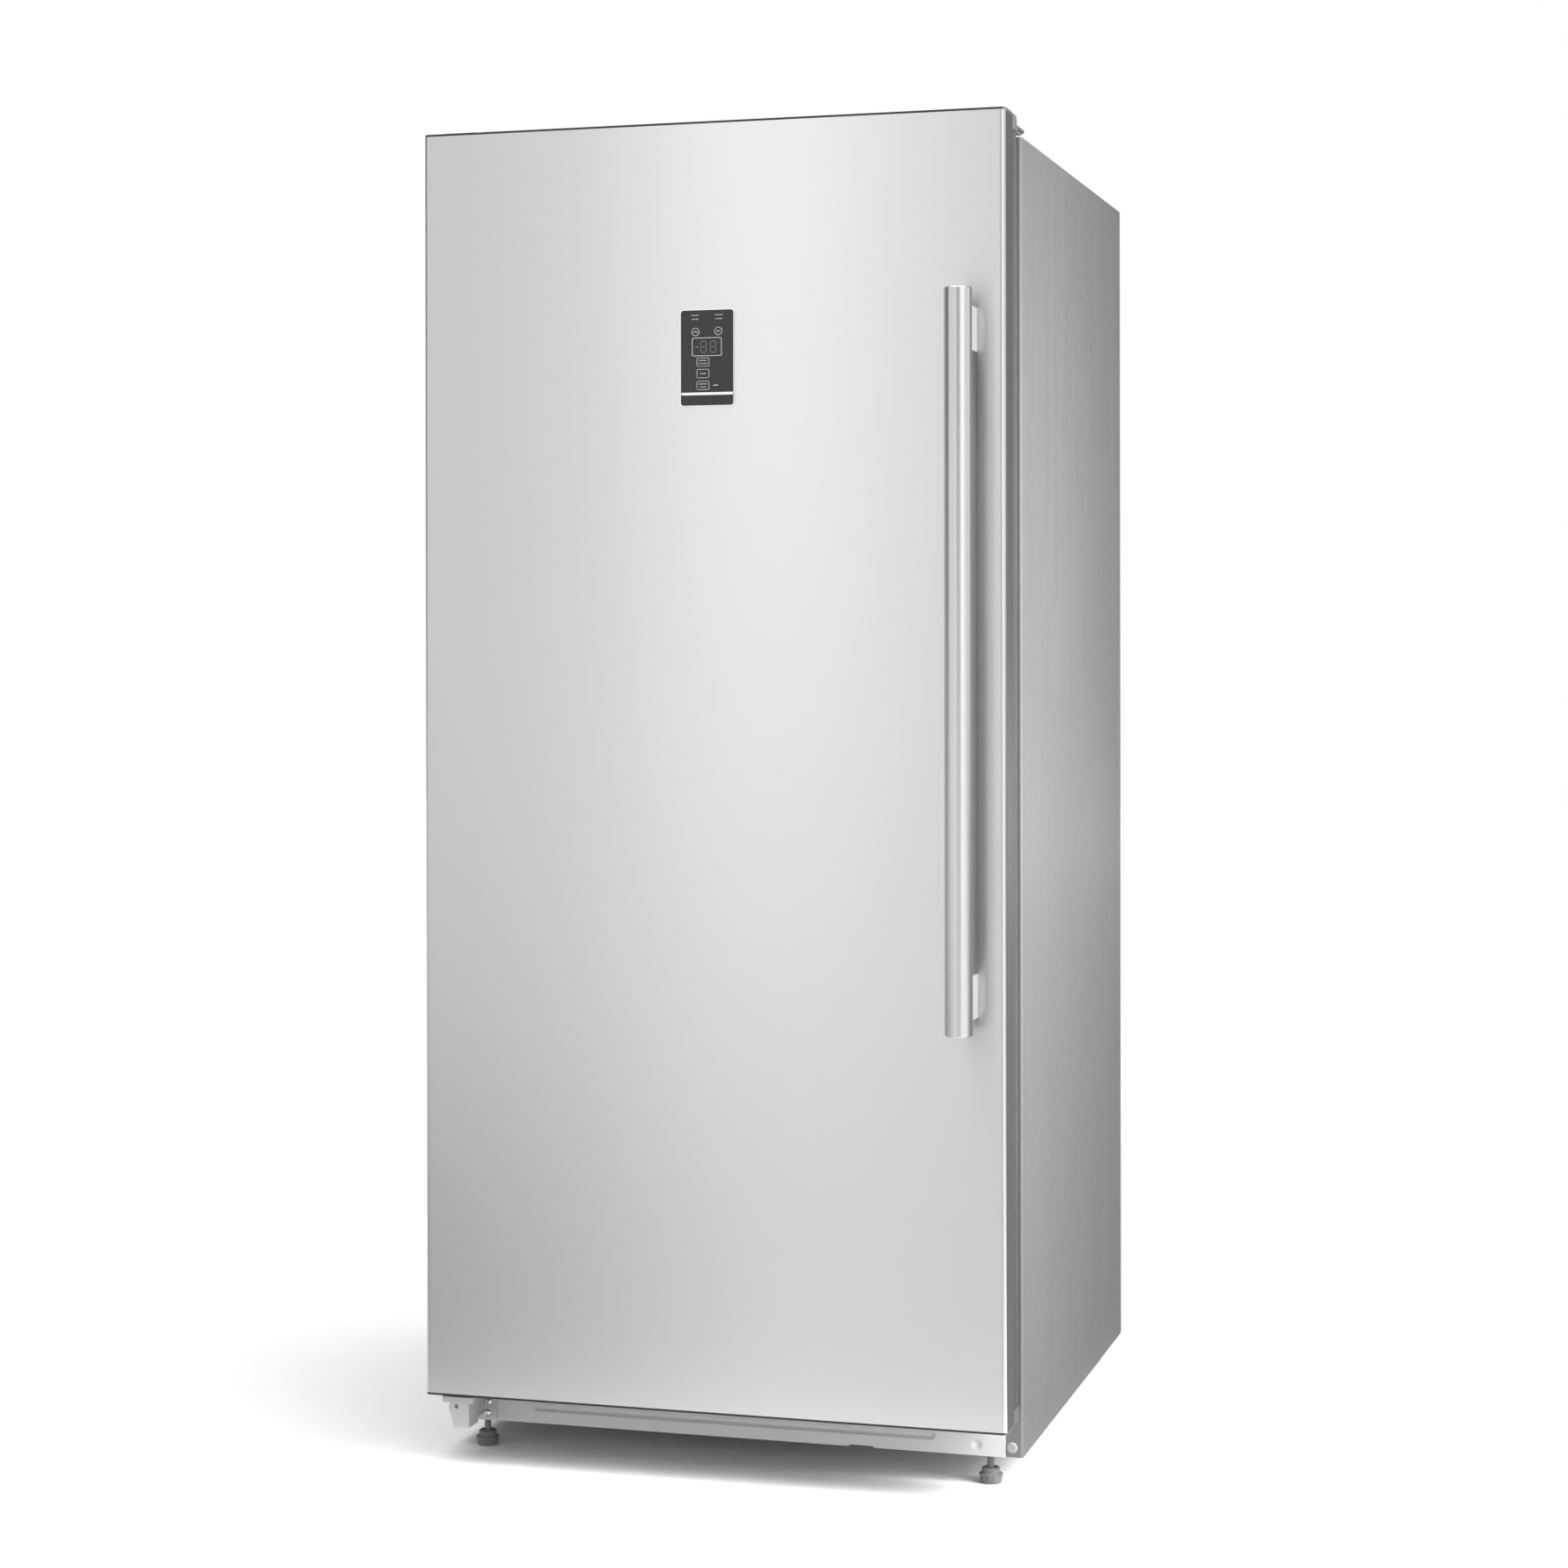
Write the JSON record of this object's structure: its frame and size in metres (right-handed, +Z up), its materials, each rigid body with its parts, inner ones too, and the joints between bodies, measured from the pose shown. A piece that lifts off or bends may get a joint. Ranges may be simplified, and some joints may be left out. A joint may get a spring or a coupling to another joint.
{
  "type": "upright freezer",
  "caption": "Upright convertible freezer with a brushed stainless door, a tall round bar handle, a small black control panel, a grey steel case and an exposed toe beam on levelling feet.",
  "frame": {"origin": "middle of the footprint, on the floor", "axes": "+Z up, -Y out of the door, +X to the viewer's right"},
  "size_m": [0.711, 0.8418, 1.606],
  "materials": {
    "brushed_stainless": "satin",
    "case_paint": "satin",
    "light_paint": "satin",
    "zinc_steel": "satin",
    "bright_steel": "polished",
    "cast_bracket": "satin",
    "fin_aluminium": "satin",
    "black_paint": "satin",
    "white_plastic": "satin",
    "grey_plastic": "satin",
    "light_plastic": "satin",
    "black_plastic": "satin",
    "foot_plastic": "matte",
    "clear_plastic": "gloss",
    "lamp_plastic": "gloss",
    "shelf_glass": "gloss",
    "gasket_rubber": "matte",
    "black_rubber": "matte",
    "panel_black": "gloss",
    "circuit_board": "satin",
    "foam": "matte"
  },
  "bodies": {
    "case": {"back_panel": "zinc_steel", "base_tray": "zinc_steel", "bottom_hinge_bracket": "light_paint", "compressor": "black_paint", "compressor_grommets": "black_rubber", "condenser": "black_paint", "cord_gland": "black_plastic", "defrost_heater": "bright_steel", "door_reed_switch": "black_plastic", "drain_pan": "black_plastic", "evaporator": "fin_aluminium", "evaporator_cover": "white_plastic", "fan_motors": "black_plastic", "fan_shroud": "black_plastic", "foam_insulation": "foam", "foot_weld_nuts": "zinc_steel", "front_base_rail": "zinc_steel", "glass_shelves": "shelf_glass", "hinge_hole_plug": "light_plastic", "hinge_pins": "bright_steel", "hinge_screws": "bright_steel", "inner_liner": "white_plastic", "interior_lamp": "lamp_plastic", "left_side_panel": "case_paint", "machine_bay_plate": "zinc_steel", "main_board_cover": "black_plastic", "rear_bumpers": "black_plastic", "rear_grille": "zinc_steel", "right_side_panel": "case_paint", "roller_axles": "bright_steel", "roller_brackets": "zinc_steel", "shelf_trims": "white_plastic", "side_ledges": "white_plastic", "toe_beam": "light_paint", "top_hinge_bracket": "zinc_steel", "top_hinge_cover": "grey_plastic", "top_panel": "case_paint"},
    "door": {"door_skin": "brushed_stainless", "door_top_cap": "grey_plastic", "door_bottom_cap": "grey_plastic", "door_foam": "foam", "door_liner": "grey_plastic", "door_gasket": "gasket_rubber", "door_bins": "clear_plastic", "handle_bar": "brushed_stainless", "handle_posts": "cast_bracket", "handle_studs": "bright_steel", "panel_bezel": "bright_steel", "control_panel": "panel_black", "display_housing": "black_plastic", "display_board": "circuit_board", "hinge_bushes": "light_plastic"},
    "basket": {"pull_out_basket": "clear_plastic"},
    "evaporator_fan_wheel": {"evaporator_fan": "black_plastic"},
    "condenser_fan_wheel": {"condenser_fan": "black_plastic"},
    "left_foot": {"front_foot_left": "foot_plastic"},
    "right_foot": {"front_foot_right": "foot_plastic"},
    "left_roller": {"rear_roller_left": "light_plastic"},
    "right_roller": {"rear_roller_right": "light_plastic"}
  },
  "joints": [
    {"name": "door_swing", "type": "hinge", "parent": "case", "child": "door", "pos_m": [-0.326, -0.315, 0.8], "axis": [0, 0, -1], "range_deg": [0, 115]},
    {"name": "basket_slide", "type": "slide", "parent": "case", "child": "basket", "axis": [0, -1, 0], "range_m": [0, 0.221]},
    {"name": "evaporator_fan_spin", "type": "hinge", "parent": "case", "child": "evaporator_fan_wheel", "pos_m": [0, 0.291, 0.8], "axis": [0, 1, 0], "continuous": true},
    {"name": "condenser_fan_spin", "type": "hinge", "parent": "case", "child": "condenser_fan_wheel", "pos_m": [0.039, 0.282, 0.16], "axis": [1, 0, 0], "continuous": true},
    {"name": "left_foot_turn", "type": "hinge", "parent": "case", "child": "left_foot", "pos_m": [-0.315, -0.252, 0.02], "axis": [0, 0, 1], "range_deg": [-1080, 1800]},
    {"name": "right_foot_turn", "type": "hinge", "parent": "case", "child": "right_foot", "pos_m": [0.315, -0.252, 0.02], "axis": [0, 0, 1], "range_deg": [-1080, 1800]},
    {"name": "left_roller_roll", "type": "hinge", "parent": "case", "child": "left_roller", "pos_m": [-0.3, 0.366, 0.02], "axis": [1, 0, 0], "continuous": true},
    {"name": "right_roller_roll", "type": "hinge", "parent": "case", "child": "right_roller", "pos_m": [0.3, 0.366, 0.02], "axis": [1, 0, 0], "continuous": true}
  ],
  "couplings": [
    {"joint": "basket_slide", "follows": "door_swing", "m_per_rad": 0.11}
  ]
}
